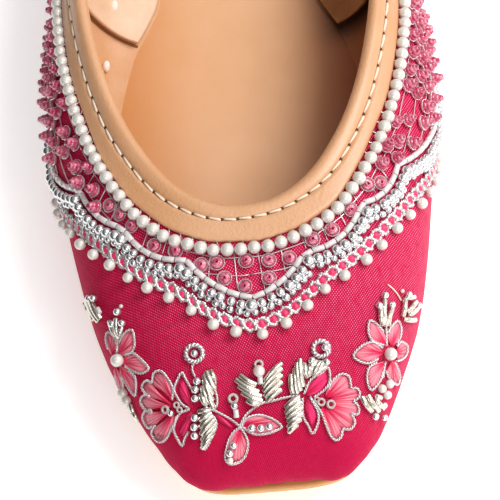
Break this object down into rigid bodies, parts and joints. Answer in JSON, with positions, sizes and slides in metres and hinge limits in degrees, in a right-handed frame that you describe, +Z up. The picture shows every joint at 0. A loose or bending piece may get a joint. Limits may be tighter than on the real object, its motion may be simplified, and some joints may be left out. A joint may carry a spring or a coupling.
{
  "type": "mojari shoe",
  "caption": "Flat slip-on mojari shoe with a hollow cloth upper, leather collar binding, pearl string, scalloped beaded border, thin leather sole and low heel lift.",
  "frame": {"origin": "on the floor, at the middle of the heel lift's rest face", "axes": "+Z up, toe towards -Y, back of the heel towards +Y"},
  "size_m": [0.0918, 0.2483, 0.0551],
  "materials": {
    "sole_leather": "satin",
    "heel_leather": "satin",
    "lining_leather": "satin",
    "upper_cloth": "woven, slight sheen",
    "binding_leather": "satin",
    "pearl": "pearl",
    "beadwork": "beads and metal thread on net"
  },
  "bodies": {
    "root": {"outsole": "sole_leather", "heel_lift": "heel_leather", "insole": "lining_leather", "upper": "upper_cloth", "collar_binding": "binding_leather", "pearl_string": "pearl", "beaded_border": "beadwork"}
  },
  "joints": []
}
